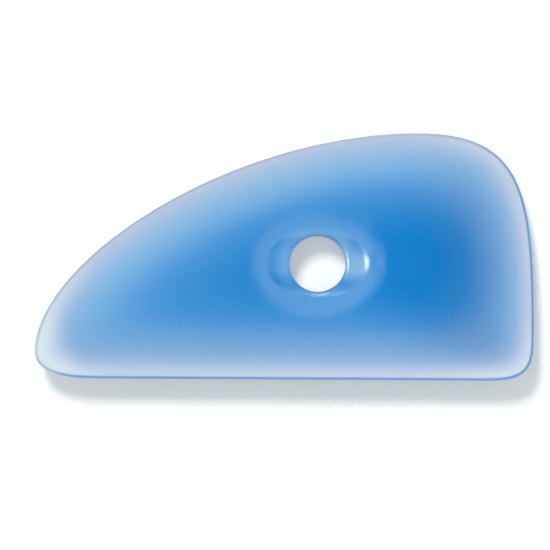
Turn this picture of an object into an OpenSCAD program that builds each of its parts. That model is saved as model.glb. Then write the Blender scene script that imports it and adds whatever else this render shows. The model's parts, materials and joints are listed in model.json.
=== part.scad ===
// Pottery rib: one soft translucent blade with a dished finger hole.
// The blade lies flat and is crowned alike on both faces, with its middle plane at Z = 0.
// The origin is the centre of the finger hole. +X runs along the straight edge towards the
// broad end, and +Y runs from the straight edge to the curved edge. Sizes are in millimetres.

/* [Outline] */
// Length from the tip to the broad end
rib_length = 108; // [98:0.1:125]
// Width from the straight edge to the crest of the curved edge
rib_width = 53.6; // [50:0.1:62]
// Distance from the tip to the crest of the curved edge
crest_from_tip = 83.3; // [70:0.1:90]
// Height of the foremost point of the tip above the straight edge
tip_height = 5.8; // [4:0.1:12]
// Length of the tip's lower curve, measured along the straight edge
tip_run = 13; // [8:0.1:20]
// Height of the outermost point of the broad end above the straight edge
side_height = 9.5; // [7:0.1:16]
// Length of the corner's curve, measured along the straight edge
corner_run = 8.8; // [6:0.1:14]

/* [Fullness of the curves] */
// Fullness of the curved edge where it leaves the tip
back_tip_fullness = 0.41; // [0.3:0.01:0.6]
// Fullness of the curved edge where it reaches the crest
back_crest_fullness = 0.49; // [0.35:0.01:0.65]
// Fullness of the shoulder beside the crest
shoulder_crest_fullness = 0.94; // [0.7:0.01:1]
// Fullness of the shoulder above the broad end
shoulder_side_fullness = 0.68; // [0.45:0.01:0.85]
// Fullness of the corner at the broad end
corner_side_fullness = 0.59; // [0.4:0.01:0.8]
// Fullness of the corner at the straight edge
corner_edge_fullness = 0.94; // [0.55:0.01:1]
// Fullness of the tip's lower curve at the tip
tip_fullness = 0.66; // [0.5:0.01:0.95]
// Fullness of the tip's lower curve at the straight edge
tip_edge_fullness = 0.68; // [0.5:0.01:0.95]

/* [Thickness] */
// Thickness of the blade along its whole edge
edge_t = 1.6; // [1:0.1:2.4]
// Radius that rounds the edge
edge_round = 0.5; // [0.2:0.05:0.5]
// Thickness that the crown would have at the hole if no dish were sunk there
belly_t = 6.6; // [6:0.1:8]

/* [Finger hole and dish] */
// Diameter of the finger hole
hole_d = 12.1; // [9:0.1:12.4]
// Distance of the hole centre from the tip
hole_from_tip = 61.1; // [54:0.1:66]
// Height of the hole centre above the straight edge
hole_height = 25.1; // [23:0.1:28]
// Radius that rounds the rim of the hole
hole_lip = 1.1; // [0.5:0.05:1.15]
// Thickness of the web between the floors of the two dishes
web_t = 3.2; // [2.6:0.1:3.4]
// Length of the dish along the rib
dish_length = 22.4; // [19:0.1:26]
// Width of the dish across the rib
dish_width = 15; // [14.8:0.1:18]
// Width of the dish's hollow wall, inside its rim
dish_wall = 1.8; // [1.2:0.1:2.6]
// How far the soft hollow round the dish reaches beyond its rim
halo_reach = 4.8; // [2.5:0.1:6]
// How deep the soft hollow is at the dish's rim, on each face
halo_depth = 1; // [0.2:0.05:1.1]

/* [Hidden] */

// places on the outline, from the hole centre
tip_x = -hole_from_tip;
end_x = rib_length - hole_from_tip;
crest_x = crest_from_tip - hole_from_tip;
edge_y = -hole_height;
crest_y = rib_width - hole_height;
tip_y = edge_y + tip_height;
side_y = edge_y + side_height;
straight_start = tip_x + tip_run;
straight_end = end_x - corner_run;

// steps along each stretch of the outline
straight_steps = 20;
corner_steps = 7;
shoulder_steps = 20;
back_steps = 30;
tip_steps = 9;

// steps across the blade, as shares of each stretch
crown_shares = [0.09, 0.2, 0.34, 0.5, 0.68, 0.85];
halo_shares = [1, 0.75, 0.5, 0.25];
dish_shares = [1, 0.8, 0.55, 0.25];
round_angles = [0, 30, 60];
lip_angles = [20, 40, 60, 80];

edge_half = edge_t / 2;
belly_half = belly_t / 2;
web_half = web_t / 2;
hole_r = hole_d / 2;
lip_r = hole_r + hole_lip;
// the core inside the hole that the bore takes away
core_inset = 0.1;
core_r = hole_r - core_inset;
core_z = (web_half - hole_lip) / 2;
bore_margin = 1;
bore_fn = 96;

function bezier(a, b, c, d, t) =
    pow(1 - t, 3) * a + 3 * pow(1 - t, 2) * t * b + 3 * (1 - t) * t * t * c + pow(t, 3) * d;

// a curve that leaves its first point along one axis and reaches its last along the other
function rounded(first, last, first_along_x, first_share, last_share, steps) =
    let (
        gap = last - first,
        leave = first_along_x ? [gap.x * first_share, 0] : [0, gap.y * first_share],
        reach = first_along_x ? [0, gap.y * last_share] : [gap.x * last_share, 0]
    )
    [for (i = [0 : steps - 1]) bezier(first, first + leave, last - reach, last, i / steps)];

// the outline, anticlockwise from the tip's end of the straight edge
outline = concat(
    [for (i = [0 : straight_steps - 1])
        [straight_start + (straight_end - straight_start) * i / straight_steps, edge_y]],
    rounded([straight_end, edge_y], [end_x, side_y], true,
        corner_edge_fullness, corner_side_fullness, corner_steps),
    rounded([end_x, side_y], [crest_x, crest_y], false,
        shoulder_side_fullness, shoulder_crest_fullness, shoulder_steps),
    rounded([crest_x, crest_y], [tip_x, tip_y], true,
        back_crest_fullness, back_tip_fullness, back_steps),
    rounded([tip_x, tip_y], [straight_start, edge_y], false,
        tip_fullness, tip_edge_fullness, tip_steps)
);
rays = len(outline);

function next(i) = (i + 1) % rays;
function before(i) = (i + rays - 1) % rays;
function turned(v) = [v.y, -v.x];
outward = [for (i = [0 : rays - 1])
    let (along = outline[next(i)] - outline[before(i)]) turned(along) / norm(along)];

// One straight piece of the outline's pull on a point: the integral of 1 / distance^3.
function pull(p, a, b) =
    let (
        along = (b - a) / norm(b - a),
        from = (a - p) * along,
        to = (b - p) * along,
        off = (a - p) * turned(along)
    )
    (to / norm([to, off]) - from / norm([from, off])) / (off * off);

// Soft distance to the edge: true beside the edge, and without ridges in the middle.
ones = [for (i = [0 : rays - 1]) 1];
function soft_distance(p) =
    sqrt(2 / ([for (i = [0 : rays - 1]) pull(p, outline[i], outline[next(i)])] * ones));

hole_distance = soft_distance([0, 0]);
function crown(p) = edge_half + (belly_half - edge_half) * soft_distance(p) / hole_distance;

function along_ray(angle, r) = [r * cos(angle), r * sin(angle)];
function dish_r(angle) =
    1 / norm([cos(angle) * 2 / dish_length, sin(angle) * 2 / dish_width]);
function raised(p, z) = [p.x, p.y, z];

// The upper face along one ray, from the edge's wall to the core of the hole.
function ray_points(i) =
    let (
        angle = atan2(outline[i].y, outline[i].x),
        rim_r = dish_r(angle),
        edge_top = outline[i] - outward[i] * edge_round,
        edge_z = crown(edge_top),
        wall_z = edge_half - edge_round,
        halo_edge = along_ray(angle, rim_r + halo_reach),
        rim_z = crown(along_ray(angle, rim_r)) - halo_depth,
        hollow = function (r) pow(max(0, 1 - (rim_r - r) / dish_wall), 2),
        dish_z = function (r) web_half + (rim_z - web_half) * hollow(r)
    )
    concat(
        [for (a = round_angles)
            raised(outline[i] - outward[i] * edge_round * (1 - cos(a)),
                wall_z + (edge_z - wall_z) * sin(a))],
        [raised(edge_top, edge_z)],
        [for (share = crown_shares)
            let (p = edge_top + (halo_edge - edge_top) * share) raised(p, crown(p))],
        [for (share = halo_shares)
            let (p = along_ray(angle, rim_r + halo_reach * share))
            raised(p, crown(p) - halo_depth * (1 + cos(180 * share)) / 2)],
        [for (share = dish_shares)
            let (r = lip_r + (rim_r - lip_r) * share) raised(along_ray(angle, r), dish_z(r))],
        [raised(along_ray(angle, lip_r), dish_z(lip_r))],
        [for (a = lip_angles)
            let (r = lip_r - hole_lip * sin(a))
            raised(along_ray(angle, r), dish_z(r) - hole_lip * (1 - cos(a)))],
        [raised(along_ray(angle, core_r), core_z)]
    );

// The crowned body with its dishes, before the hole is bored.
module blade_body() {
    upper = [for (i = [0 : rays - 1]) ray_points(i)];
    rings = len(upper[0]);
    side = rays * rings;
    top_point = function (i, k) i * rings + k;
    low_point = function (i, k) side + i * rings + k;
    points = concat(
        [for (ray = upper) for (p = ray) p],
        [for (ray = upper) for (p = ray) [p.x, p.y, -p.z]],
        [[0, 0, core_z], [0, 0, -core_z]]
    );
    upper_faces = [for (i = [0 : rays - 1]) for (k = [0 : rings - 2]) each [
        [top_point(i, k), top_point(i, k + 1), top_point(next(i), k + 1)],
        [top_point(i, k), top_point(next(i), k + 1), top_point(next(i), k)]
    ]];
    lower_faces = [for (i = [0 : rays - 1]) for (k = [0 : rings - 2]) each [
        [low_point(i, k), low_point(next(i), k + 1), low_point(i, k + 1)],
        [low_point(i, k), low_point(next(i), k), low_point(next(i), k + 1)]
    ]];
    wall_faces = [for (i = [0 : rays - 1]) each [
        [top_point(i, 0), top_point(next(i), 0), low_point(next(i), 0)],
        [top_point(i, 0), low_point(next(i), 0), low_point(i, 0)]
    ]];
    core_faces = [for (i = [0 : rays - 1]) each [
        [top_point(i, rings - 1), 2 * side, top_point(next(i), rings - 1)],
        [low_point(i, rings - 1), low_point(next(i), rings - 1), 2 * side + 1]
    ]];
    polyhedron(points, concat(upper_faces, lower_faces, wall_faces, core_faces));
}

module rib_blade() {
    color([0.22, 0.56, 0.86])
    difference() {
        blade_body();
        cylinder(h = belly_t + bore_margin, r = hole_r, center = true, $fn = bore_fn);
    }
}

rib_blade();
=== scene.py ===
import bmesh
import bpy
import json
import math
import numpy as np
from mathutils import Matrix, Vector


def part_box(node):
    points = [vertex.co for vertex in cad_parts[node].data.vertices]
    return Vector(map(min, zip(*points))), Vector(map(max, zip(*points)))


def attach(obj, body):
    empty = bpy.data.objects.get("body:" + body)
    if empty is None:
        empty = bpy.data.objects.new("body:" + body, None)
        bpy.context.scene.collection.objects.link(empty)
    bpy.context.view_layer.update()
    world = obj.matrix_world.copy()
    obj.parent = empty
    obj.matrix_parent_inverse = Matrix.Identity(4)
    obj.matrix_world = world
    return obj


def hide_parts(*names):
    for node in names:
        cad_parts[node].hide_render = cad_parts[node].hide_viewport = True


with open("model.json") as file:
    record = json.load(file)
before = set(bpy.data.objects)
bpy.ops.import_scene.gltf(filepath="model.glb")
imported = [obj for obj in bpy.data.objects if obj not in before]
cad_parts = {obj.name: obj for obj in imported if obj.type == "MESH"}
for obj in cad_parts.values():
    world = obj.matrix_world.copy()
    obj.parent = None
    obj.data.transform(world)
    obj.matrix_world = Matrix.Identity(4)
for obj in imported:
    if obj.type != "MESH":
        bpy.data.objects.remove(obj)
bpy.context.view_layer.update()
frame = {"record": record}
nodeLow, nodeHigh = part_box("rib_blade")
holeRadius = frame["record"]["mounts"][0]["dims"]["r_mm"] / 1000

millimetre = 0.001


def clearSelection():
    if bpy.context.object and bpy.context.object.mode != "OBJECT":
        bpy.ops.object.mode_set(mode="OBJECT")
    bpy.ops.object.select_all(action="DESELECT")


# the outline: a straight edge, a small corner, a shoulder, the long back and the tip
outlineShape = {
    "crestFromTip": 0.0833,
    "tipHeight": 0.0058,
    "tipRun": 0.013,
    "sideHeight": 0.0095,
    "cornerRun": 0.0088,
    "backFullness": (0.49, 0.41),      # at the crest, at the tip
    "shoulderFullness": (0.68, 0.94),  # at the broad end, at the crest
    "cornerFullness": (0.94, 0.59),    # at the straight edge, at the broad end
    "tipFullness": (0.66, 0.68),       # at the tip, at the straight edge
    "steps": (26, 9, 26, 40, 12),      # straight edge, corner, shoulder, back, tip
}


def bezierStretch(first, last, startsAlongX, fullness, steps):
    gap = last - first
    if startsAlongX:
        leave = np.array([gap[0] * fullness[0], 0])
        reach = np.array([0, gap[1] * fullness[1]])
    else:
        leave = np.array([0, gap[1] * fullness[0]])
        reach = np.array([gap[0] * fullness[1], 0])
    t = np.arange(steps)[:, None] / steps
    bends = [(1 - t) ** 3, 3 * (1 - t) ** 2 * t, 3 * (1 - t) * t * t, t ** 3]
    points = [first, first + leave, last - reach, last]
    return sum(bend * point for bend, point in zip(bends, points))


def outlinePoints(shape):
    edgeY = nodeLow.y
    straightStart = np.array([nodeLow.x + shape["tipRun"], edgeY])
    straightEnd = np.array([nodeHigh.x - shape["cornerRun"], edgeY])
    side = np.array([nodeHigh.x, edgeY + shape["sideHeight"]])
    crest = np.array([nodeLow.x + shape["crestFromTip"], nodeHigh.y])
    tip = np.array([nodeLow.x, edgeY + shape["tipHeight"]])
    straight, corner, shoulder, back, end = shape["steps"]
    along = np.arange(straight)[:, None] / straight
    return np.vstack([
        straightStart + (straightEnd - straightStart) * along,
        bezierStretch(straightEnd, side, True, shape["cornerFullness"], corner),
        bezierStretch(side, crest, False, shape["shoulderFullness"], shoulder),
        bezierStretch(crest, tip, True, shape["backFullness"], back),
        bezierStretch(tip, straightStart, False, shape["tipFullness"], end),
    ])


def softDistance(points, outline):
    # true beside the edge, and rounded off in the middle, so the crown has no ridges
    pull = np.zeros(len(points))
    for a, b in zip(outline, np.roll(outline, -1, axis=0)):
        length = np.linalg.norm(b - a)
        along = (b - a) / length
        start = (a - points) @ along
        stop = start + length
        off = (a - points) @ np.array([along[1], -along[0]])
        pull += (stop / np.hypot(stop, off) - start / np.hypot(start, off)) / off ** 2
    return np.sqrt(2 / pull)


bladeShape = {
    "edgeThickness": 0.0016,
    "edgeRound": 0.0005,
    "bellyThickness": 0.0066,
    "webThickness": 0.0032,
    "holeLip": 0.0011,
    "dishLength": 0.0224,
    "dishWidth": 0.015,
    "dishWall": 0.0018,
    "haloReach": 0.0048,
    "haloDepth": 0.001,
    "wallShare": 0.8,                  # how far up the edge's straight wall its second ring lies
    "edgeTurns": (0, 0.4, 0.8, 1.2),   # radians round the edge's rounding
    "crownShares": (0.04, 0.1, 0.17, 0.26, 0.36, 0.47, 0.59, 0.72, 0.86),
    "haloShares": (1, 0.84, 0.68, 0.52, 0.36, 0.22, 0.1, 0.03),
    "dishShares": (0.985, 0.93, 0.86, 0.76, 0.64, 0.5, 0.34, 0.17),
    "lipTurns": (0, 0.25, 0.5, 0.75, 1, 1.25, math.pi / 2),
    "boreShares": (0.6, 0),            # from the lip down to the middle plane
    "smoothing": 1,                    # subdivision levels over the cage
}


def bladeRings(shape, outline):
    # every ring of the upper face, from the middle of the edge to the middle of the bore
    ahead = np.roll(outline, -1, axis=0) - np.roll(outline, 1, axis=0)
    ahead /= np.linalg.norm(ahead, axis=1)[:, None]
    outward = np.stack([ahead[:, 1], -ahead[:, 0]], axis=1)
    angle = np.arctan2(outline[:, 1], outline[:, 0])
    ray = np.stack([np.cos(angle), np.sin(angle)], axis=1)
    dishRadius = 1 / np.hypot(ray[:, 0] * 2 / shape["dishLength"], ray[:, 1] * 2 / shape["dishWidth"])
    edgeHalf = shape["edgeThickness"] / 2
    rise = shape["bellyThickness"] / 2 - edgeHalf
    holeDistance = softDistance(np.zeros((1, 2)), outline)[0]

    def crown(points):
        return edgeHalf + rise * softDistance(points, outline) / holeDistance

    edgeRound = shape["edgeRound"]
    wallTop = edgeHalf - edgeRound
    edgeTop = outline - outward * edgeRound
    edgeZ = crown(edgeTop)
    flat = np.zeros(len(outline))
    rings = [(outline, flat), (outline, flat + wallTop * shape["wallShare"])]
    for turn in shape["edgeTurns"]:
        inset = edgeRound * (1 - math.cos(turn))
        rings.append((outline - outward * inset, wallTop + (edgeZ - wallTop) * math.sin(turn)))
    rings.append((edgeTop, edgeZ))
    haloEdge = ray * (dishRadius + shape["haloReach"])[:, None]
    for share in shape["crownShares"]:
        points = edgeTop + (haloEdge - edgeTop) * share
        rings.append((points, crown(points)))
    for share in shape["haloShares"]:
        points = ray * (dishRadius + shape["haloReach"] * share)[:, None]
        sink = shape["haloDepth"] * (1 + math.cos(math.pi * share)) / 2
        rings.append((points, crown(points) - sink))
    rim = ray * dishRadius[:, None]
    rimZ = crown(rim) - shape["haloDepth"]
    rings.append((rim, rimZ))
    webHalf = shape["webThickness"] / 2
    lipRadius = holeRadius + shape["holeLip"]

    def dishZ(radius):
        wall = np.clip(1 - (dishRadius - radius) / shape["dishWall"], 0, None) ** 2
        return webHalf + (rimZ - webHalf) * wall

    for share in shape["dishShares"]:
        radius = lipRadius + (dishRadius - lipRadius) * share
        rings.append((ray * radius[:, None], dishZ(radius)))
    for turn in shape["lipTurns"]:
        radius = lipRadius - shape["holeLip"] * math.sin(turn)
        rings.append((ray * radius, dishZ(radius) - shape["holeLip"] * (1 - math.cos(turn))))
    wallZ = dishZ(holeRadius) - shape["holeLip"]
    for share in shape["boreShares"]:
        rings.append((ray * holeRadius, wallZ * share))
    return rings


def placeRing(mesh, rayLayer, ring):
    points, heights = ring
    for vertex in mesh.verts:
        if vertex.select:
            ray = vertex[rayLayer]
            vertex.co = (points[ray][0], points[ray][1], heights[ray])


def makeBlade():
    outline = outlinePoints(outlineShape)
    rings = bladeRings(bladeShape, outline)
    clearSelection()
    bpy.ops.mesh.primitive_circle_add(vertices=len(outline), radius=nodeHigh.x, fill_type="NOTHING")
    piece = bpy.context.object
    piece.name = "blue_blade"
    bpy.ops.object.mode_set(mode="EDIT")
    mesh = bmesh.from_edit_mesh(piece.data)
    rayLayer = mesh.verts.layers.int.new("ray")
    mesh.verts.ensure_lookup_table()
    for index, vertex in enumerate(mesh.verts):
        vertex[rayLayer] = index
    placeRing(mesh, rayLayer, rings[0])
    bmesh.update_edit_mesh(piece.data)
    for ring in rings[1:]:
        bpy.ops.mesh.extrude_region_move()
        mesh = bmesh.from_edit_mesh(piece.data)
        placeRing(mesh, mesh.verts.layers.int["ray"], ring)
        bmesh.update_edit_mesh(piece.data)
    bpy.ops.object.mode_set(mode="OBJECT")
    # the lower face mirrors the upper one
    mirror = piece.modifiers.new("lowerFace", "MIRROR")
    mirror.use_axis = (False, False, True)
    mirror.merge_threshold = 1e-6
    bpy.ops.object.modifier_apply(modifier=mirror.name)
    smooth = piece.modifiers.new("smooth", "SUBSURF")
    smooth.levels = bladeShape["smoothing"]
    smooth.render_levels = bladeShape["smoothing"]
    bpy.ops.object.modifier_apply(modifier=smooth.name)
    bpy.ops.object.mode_set(mode="EDIT")
    bpy.ops.mesh.select_all(action="SELECT")
    bpy.ops.mesh.normals_make_consistent(inside=False)
    bpy.ops.object.mode_set(mode="OBJECT")
    bpy.ops.object.shade_smooth()
    print("blade:", len(piece.data.polygons), "faces")
    return piece


frosted = {
    "ior": 1.5,
    "roughness": (0.5, 0.58),
    "transmission": 0.96,
    "specular": 0.05,      # the frosted body mirrors almost nothing itself
    "polish": 1.0,         # a thin smoother skin over the frosting
    "polishRoughness": 0.22,
    "absorbedColour": (0.0, 0.76, 0.94),
    "density": 80,
    # the pigment, by half the local thickness: as it is, and as painted light and shade turn it by side,
    # paler where thin and darker where thick
    "pigment": [
        (0.0009, (0.71, 0.73, 0.90), (0.95, 0.99, 1.00)),
        (0.00105, (0.61, 0.70, 0.91), (0.89, 0.89, 1.00)),
        (0.00145, (0.44, 0.65, 0.93), (0.45, 0.58, 0.86)),
        (0.00185, (0.33, 0.59, 0.92), (0.26, 0.41, 0.73)),
        (0.00245, (0.12, 0.42, 0.85), (0.21, 0.32, 0.57)),
        (0.00285, (0.05, 0.36, 0.80), (0.04, 0.18, 0.47)),
        (0.00335, (0.00, 0.30, 0.75), (0.00, 0.17, 0.53)),
    ],
    "thickest": 0.0034,
    # painted shade on the broad end, away from the light: round this spot the colour is made deeper
    "shadeSpot": (0.030, -0.004),       # its middle, where the colour is this much deeper
    "shadeReach": (0.024, 0.006),
    "shadeGain": 0.12,
    # painted light and shade by side, towards the broad end, the straight edge and the tip: axis, from
    # here to here, by this much
    "sideLightAndShade": [("X", 0.015, 0.040, 0.44), ("Y", -0.010, -0.024, 0.56), ("X", -0.045, -0.060, 0.72)],
    # the rounded rim, painted darker as a stand-in for the light it bends, and deeper still as painted
    # shade at the broad end and the straight edge: the half thickness where its colour starts and is
    # full, and where it is deep
    "rim": (0.0009, 0.00085),
    "rimColour": (0.52, 0.62, 0.80),
    "shadedRimColour": (0.13, 0.37, 0.90),
    "rimShade": [("X", 0.030, 0.046, 0.9), ("Y", -0.0232, -0.0249, 1)],
    # painted shade and painted light in soft places round the dish and at the tip: middle, half sizes,
    # where it starts and is full, change
    "shadeAndLightPatches": [((-0.0006, -0.0010), (0.0130, 0.0100), 1.2, 0.95, -0.00032),
                ((0.0137, 0.0003), (0.001, 0.001), 4.5, 1.5, 0.00045),
                ((0.0090, 0.0086), (0.001, 0.001), 4.2, 1.5, -0.0002),
                ((-0.0610, -0.0195), (0.001, 0.001), 12, 5, -0.00013)],
    "dishReach": 0.0145,
    "haloTint": 0.0023,    # the soft hollow looks at least this thick
    "dishRim": (1.04, 0.96),   # where the dish's own colour starts and is full, as shares of its rim
    "dishTint": 0.0020,    # as thick as the dish looks, with painted shade and painted highlight across it: axis, from, to, change
    "dishShading": [("X", -0.0066, -0.0094, 0.00034), ("X", 0.002, 0.007, -0.00028),
                    ("X", 0.009, 0.010, -0.0003), ("Y", 0.0012, 0.0044, 0.0003),
                    ("Y", 0.0050, 0.0066, -0.00042), ("Y", -0.0010, -0.0042, 0.00062),
                    ("Y", -0.0050, -0.0066, -0.0005), ("Y", -0.0066, -0.0073, 0.0006)],
    # a painted highlight on the lip below the hole, and painted shade in three places in the dish
    "dishShadeAndHighlights": [((0, -0.0066), (0.0025, 0.0007), 1.4, 0.6, -0.0006),
                    ((0.0082, 0.0031), (0.001, 0.001), 2.6, 0.8, 0.0003),
                    ((0.0064, -0.0050), (0.001, 0.001), 2.2, 0.6, 0.0003),
                    ((-0.0092, 0), (0.001, 0.001), 2.6, 0.8, 0.00014)],
    "grainSize": 2600,
    "grainStrength": 0.06,
    "grainHeight": 0.0002,
    "hazeSize": 60,
}


def maths(nodes, links, operation, first, second):
    node = nodes.new("ShaderNodeMath")
    node.operation = operation
    for socket, value in zip(node.inputs, (first, second)):
        if isinstance(value, (int, float)):
            socket.default_value = value
        else:
            links.new(value, socket)
    return node.outputs[0]


def slope(nodes, links, value, start, stop, low=0, high=1):
    node = nodes.new("ShaderNodeMapRange")
    node.interpolation_type = "SMOOTHSTEP"
    links.new(value, node.inputs["Value"])
    node.inputs["From Min"].default_value = start
    node.inputs["From Max"].default_value = stop
    node.inputs["To Min"].default_value = low
    node.inputs["To Max"].default_value = high
    return node.outputs["Result"]


def lengthOf(nodes, links, vector, scale, shift=(0, 0, 0)):
    scaled = nodes.new("ShaderNodeVectorMath")
    scaled.operation = "MULTIPLY_ADD"
    scaled.inputs[1].default_value = scale
    scaled.inputs[2].default_value = shift
    links.new(vector, scaled.inputs[0])
    length = nodes.new("ShaderNodeVectorMath")
    length.operation = "LENGTH"
    links.new(scaled.outputs["Vector"], length.inputs[0])
    return length.outputs["Value"]


def patched(nodes, links, place, depth, shadeAndLightPatches):
    for middle, size, start, stop, more in shadeAndLightPatches:
        scale = (1 / size[0], 1 / size[1], 0)
        away = lengthOf(nodes, links, place, scale, (-middle[0] / size[0], -middle[1] / size[1], 0))
        depth = maths(nodes, links, "ADD", slope(nodes, links, away, start, stop, 0, more), depth)
    return depth


def summed(nodes, links, axes, total, slopes):
    for axis, start, stop, amount in slopes:
        total = maths(nodes, links, "ADD", slope(nodes, links, axes[axis], start, stop, 0, amount), total)
    return total


def blended(nodes, links, factor, first, second):
    node = nodes.new("ShaderNodeMix")
    node.data_type = "RGBA"
    links.new(factor, node.inputs[0])
    for socket, colour in zip(node.inputs[6:8], (first, second)):
        if isinstance(colour, tuple):
            socket.default_value = (*colour, 1)
        else:
            links.new(colour, socket)
    return node.outputs[2]


def pigmentRamp(nodes, links, share, column):
    ramp = nodes.new("ShaderNodeValToRGB")
    stops = ramp.color_ramp.elements
    while len(stops) < len(frosted["pigment"]):
        stops.new(1)
    for stop, entry in zip(stops, frosted["pigment"]):
        stop.position = entry[0] / frosted["thickest"]
        stop.color = (*entry[column], 1)
    links.new(share, ramp.inputs["Fac"])
    return ramp.outputs["Color"]


def pigmentColour(nodes, links, place, axes):
    halfThickness = maths(nodes, links, "ABSOLUTE", axes["Z"], 0)
    # painted shade: the colour grows deeper round a spot on the broad end, away from the light
    spotX, spotY = frosted["shadeSpot"]
    fromSpot = lengthOf(nodes, links, place, (1, 1, 0), (-spotX, -spotY, 0))
    shadeFactor = slope(nodes, links, fromSpot, *frosted["shadeReach"], 1, 1 + frosted["shadeGain"])
    depth = maths(nodes, links, "MULTIPLY", halfThickness, shadeFactor)
    # painted shade and painted light in soft places round the dish and at the tip
    depth = patched(nodes, links, place, depth, frosted["shadeAndLightPatches"])

    # the dish and the soft hollow round it keep the blade's deeper colour
    radius = lengthOf(nodes, links, place, (1, 1, 0))
    inHollow = maths(nodes, links, "LESS_THAN", radius, frosted["dishReach"])
    hollow = maths(nodes, links, "MULTIPLY", inHollow, frosted["haloTint"])
    depth = maths(nodes, links, "MAXIMUM", depth, hollow)
    # painted shade and painted highlight across the dish: darker on the left wall and below the hole,
    # paler on the right wall and at the bottom lip
    dishTint = summed(nodes, links, axes, frosted["dishTint"], frosted["dishShading"])
    dishTint = patched(nodes, links, place, dishTint, frosted["dishShadeAndHighlights"])
    toRim = lengthOf(nodes, links, place, (2 / bladeShape["dishLength"], 2 / bladeShape["dishWidth"], 0))
    tinted = nodes.new("ShaderNodeMix")
    links.new(slope(nodes, links, toRim, *frosted["dishRim"]), tinted.inputs[0])
    links.new(depth, tinted.inputs[2])
    links.new(dishTint, tinted.inputs[3])

    share = maths(nodes, links, "DIVIDE", tinted.outputs[0], frosted["thickest"])
    # painted light and shade by side: towards the broad end, the straight edge and the tip the ramp turns
    # paler where thin and darker where thick
    sideLightShare = summed(nodes, links, axes, 0, frosted["sideLightAndShade"])
    ramps = [pigmentRamp(nodes, links, share, column) for column in (1, 2)]
    face = blended(nodes, links, sideLightShare, *ramps)
    # the rim's colour stands in for the light it bends, with painted shade deeper at the broad end and
    # the straight edge
    rimShade = summed(nodes, links, axes, 0, frosted["rimShade"])
    rim = blended(nodes, links, rimShade, frosted["rimColour"], frosted["shadedRimColour"])
    return blended(nodes, links, slope(nodes, links, halfThickness, *frosted["rim"]), face, rim)


def makeFrostedBlue():
    material = bpy.data.materials.new("frostedBlue")
    material.use_nodes = True
    nodes = material.node_tree.nodes
    links = material.node_tree.links
    shader = nodes["Principled BSDF"]
    shader.inputs["IOR"].default_value = frosted["ior"]
    shader.inputs["Transmission Weight"].default_value = frosted["transmission"]
    shader.inputs["Specular IOR Level"].default_value = frosted["specular"]
    shader.inputs["Coat Weight"].default_value = frosted["polish"]
    shader.inputs["Coat Roughness"].default_value = frosted["polishRoughness"]

    place = nodes.new("ShaderNodeTexCoord").outputs["Object"]
    axes = nodes.new("ShaderNodeSeparateXYZ")
    links.new(place, axes.inputs["Vector"])
    links.new(pigmentColour(nodes, links, place, axes.outputs), shader.inputs["Base Color"])

    # a fine frosting from the mould, and its broad unevenness
    grain = nodes.new("ShaderNodeTexNoise")
    grain.inputs["Scale"].default_value = frosted["grainSize"]
    grain.inputs["Detail"].default_value = 3
    links.new(place, grain.inputs["Vector"])
    bump = nodes.new("ShaderNodeBump")
    bump.inputs["Strength"].default_value = frosted["grainStrength"]
    bump.inputs["Distance"].default_value = frosted["grainHeight"]
    links.new(grain.outputs["Fac"], bump.inputs["Height"])
    links.new(bump.outputs["Normal"], shader.inputs["Normal"])
    haze = nodes.new("ShaderNodeTexNoise")
    haze.inputs["Scale"].default_value = frosted["hazeSize"]
    links.new(place, haze.inputs["Vector"])
    roughness = slope(nodes, links, haze.outputs["Fac"], 0, 1, *frosted["roughness"])
    links.new(roughness, shader.inputs["Roughness"])

    volume = nodes.new("ShaderNodeVolumeAbsorption")
    volume.inputs["Color"].default_value = (*frosted["absorbedColour"], 1)
    volume.inputs["Density"].default_value = frosted["density"]
    links.new(volume.outputs["Volume"], nodes["Material Output"].inputs["Volume"])
    return material


blade = makeBlade()
blade.data.materials.append(makeFrostedBlue())
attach(blade, "root")
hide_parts("rib_blade")

studio = {
    "lean": 3,             # degrees between the blade and the floor, straight edge up
    "floorWidth": 1.6,
    "floorColour": (0.92, 0.92, 0.92),
    "floorRoughness": 0.9,
    "floorGlow": 0.32,     # seen by the camera only, so the lit floor is plain white
    "glowColour": (0.86, 0.97, 1.00),    # the shadows are slightly blue
    "skyStrength": 0.4,
    "sunStrength": 2.45,
    "sunHeight": 41,       # degrees above the floor
    "sunSide": 113,        # degrees round from +X
    "sunSoftness": 19,
    "sunDistance": 0.5,
    "mirroredCeiling": 0.0,
    "mirroredWalls": 0.2,
    "mirroredCove": (0.1, 0.7),    # the heights where the walls end and the ceiling starts
    # side, height, full and faded out at these angles from the middle, brightness
    "mirroredWindows": [(178, 36, 10, 18, 17), (96, 26, 4, 14, 8)],
}


def leaning(side, height):
    side = math.radians(side)
    height = math.radians(height)
    reach = math.cos(height)
    level = Vector((reach * math.cos(side), reach * math.sin(side), math.sin(height)))
    return Matrix.Rotation(math.radians(studio["lean"]), 3, "X") @ level


def cameraPath(nodes, links):
    # rays from the camera that haven't yet met a matt surface, and so light nothing
    path = nodes.new("ShaderNodeLightPath").outputs
    unscattered = maths(nodes, links, "LESS_THAN", path["Diffuse Depth"], 0.5)
    through = maths(nodes, links, "MULTIPLY", path["Is Transmission Ray"], unscattered)
    mirrored = maths(nodes, links, "MULTIPLY", path["Is Glossy Ray"], unscattered)
    return path["Is Camera Ray"], through, mirrored


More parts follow.
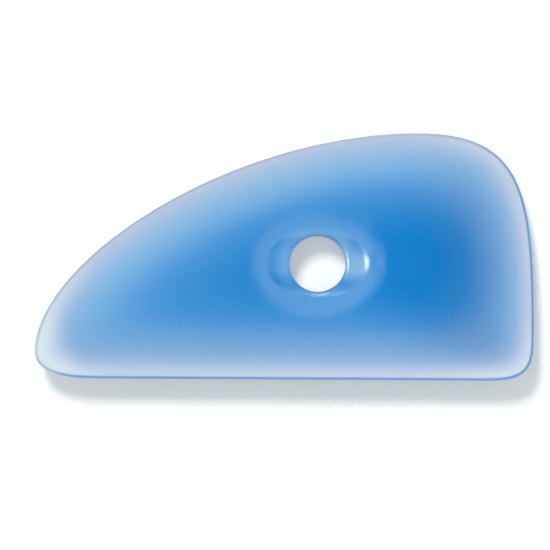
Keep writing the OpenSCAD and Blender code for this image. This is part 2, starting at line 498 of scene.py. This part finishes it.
def makeFloor():
    up = leaning(0, 90)
    lowest = min(up.dot(vertex.co) for vertex in blade.data.vertices)
    clearSelection()
    bpy.ops.mesh.primitive_plane_add(
        size=studio["floorWidth"],
        location=up * lowest,
        rotation=(math.radians(studio["lean"]), 0, 0),
    )
    floor = bpy.context.object
    floor.name = "floor"
    material = bpy.data.materials.new("paleFloor")
    material.use_nodes = True
    nodes = material.node_tree.nodes
    links = material.node_tree.links
    shader = nodes["Principled BSDF"]
    shader.inputs["Base Color"].default_value = (*studio["floorColour"], 1)
    shader.inputs["Roughness"].default_value = studio["floorRoughness"]
    seen, through, _ = cameraPath(nodes, links)
    glow = nodes.new("ShaderNodeEmission")
    glow.inputs["Color"].default_value = (*studio["glowColour"], 1)
    links.new(maths(nodes, links, "MULTIPLY", seen, studio["floorGlow"]), glow.inputs["Strength"])
    lit = nodes.new("ShaderNodeAddShader")
    links.new(shader.outputs["BSDF"], lit.inputs[0])
    links.new(glow.outputs["Emission"], lit.inputs[1])
    # the translucent blade shows plain white through itself
    white = nodes.new("ShaderNodeEmission")
    mixed = nodes.new("ShaderNodeMixShader")
    links.new(through, mixed.inputs[0])
    links.new(lit.outputs["Shader"], mixed.inputs[1])
    links.new(white.outputs["Emission"], mixed.inputs[2])
    links.new(mixed.outputs["Shader"], nodes["Material Output"].inputs["Surface"])
    floor.data.materials.append(material)


def makeWorld():
    world = bpy.data.worlds.new("studio")
    bpy.context.scene.world = world
    world.use_nodes = True
    nodes = world.node_tree.nodes
    links = world.node_tree.links
    background = nodes["Background"]
    background.inputs["Color"].default_value = (1, 1, 1, 1)
    seen, through, mirrored = cameraPath(nodes, links)
    direct = maths(nodes, links, "MAXIMUM", seen, through)

    # what the gloss mirrors: a dark ceiling over paler walls, and two windows
    direction = nodes.new("ShaderNodeTexCoord").outputs["Generated"]
    axes = nodes.new("ShaderNodeSeparateXYZ")
    links.new(direction, axes.inputs["Vector"])
    brightness = (studio["mirroredWalls"], studio["mirroredCeiling"])
    room = slope(nodes, links, axes.outputs["Z"], *studio["mirroredCove"], *brightness)
    for side, height, inner, outer, brightness in studio["mirroredWindows"]:
        towards = nodes.new("ShaderNodeVectorMath")
        towards.operation = "DOT_PRODUCT"
        towards.inputs[1].default_value = leaning(side, height)
        links.new(direction, towards.inputs[0])
        edges = [math.cos(math.radians(angle)) for angle in (outer, inner)]
        window = slope(nodes, links, towards.outputs["Value"], *edges, 0, brightness)
        room = maths(nodes, links, "ADD", room, window)

    reflected = nodes.new("ShaderNodeMix")
    links.new(mirrored, reflected.inputs[0])
    reflected.inputs[2].default_value = studio["skyStrength"]
    links.new(room, reflected.inputs[3])
    strength = nodes.new("ShaderNodeMix")
    strength.inputs[3].default_value = 1
    links.new(direct, strength.inputs[0])
    links.new(reflected.outputs[0], strength.inputs[2])
    links.new(strength.outputs[0], background.inputs["Strength"])


def makeSun():
    towards = leaning(studio["sunSide"], studio["sunHeight"])
    clearSelection()
    bpy.ops.object.light_add(type="SUN", location=towards * studio["sunDistance"])
    sun = bpy.context.object
    sun.rotation_euler = towards.to_track_quat("Z", "Y").to_euler()
    sun.visible_glossy = False     # the windows stand in for it
    sun.visible_transmission = False
    sun.data.energy = studio["sunStrength"]
    sun.data.angle = math.radians(studio["sunSoftness"])


view = {
    "pictureSide": 550,              # pixels
    "pixelSize": 108 * millimetre / 498.56,
    "holePixel": (317.5, 263.6),
    "tilt": 3,                       # degrees towards the straight edge
    "roll": 0.35,
    "distance": 0.8,
    "sensorWidth": 36,
}


def makeCamera():
    tilt = math.radians(view["tilt"])
    centre = view["pictureSide"] / 2
    right = (centre - view["holePixel"][0]) * view["pixelSize"]
    up = (view["holePixel"][1] - centre) * view["pixelSize"] / math.cos(tilt)
    target = Vector((right, up, 0))
    clearSelection()
    bpy.ops.object.camera_add()
    camera = bpy.context.object
    back = Vector((0, -math.sin(tilt), math.cos(tilt)))
    camera.location = target + back * view["distance"]
    camera.rotation_euler = (-back).to_track_quat("-Z", "Y").to_euler()
    camera.rotation_euler.rotate_axis("Z", math.radians(view["roll"]))
    camera.data.sensor_width = view["sensorWidth"]
    pictureWidth = view["pictureSide"] * view["pixelSize"]
    camera.data.lens = view["sensorWidth"] * view["distance"] / pictureWidth
    bpy.context.scene.camera = camera
    bpy.context.scene.view_settings.view_transform = "Standard"


makeFloor()
makeWorld()
makeSun()
makeCamera()
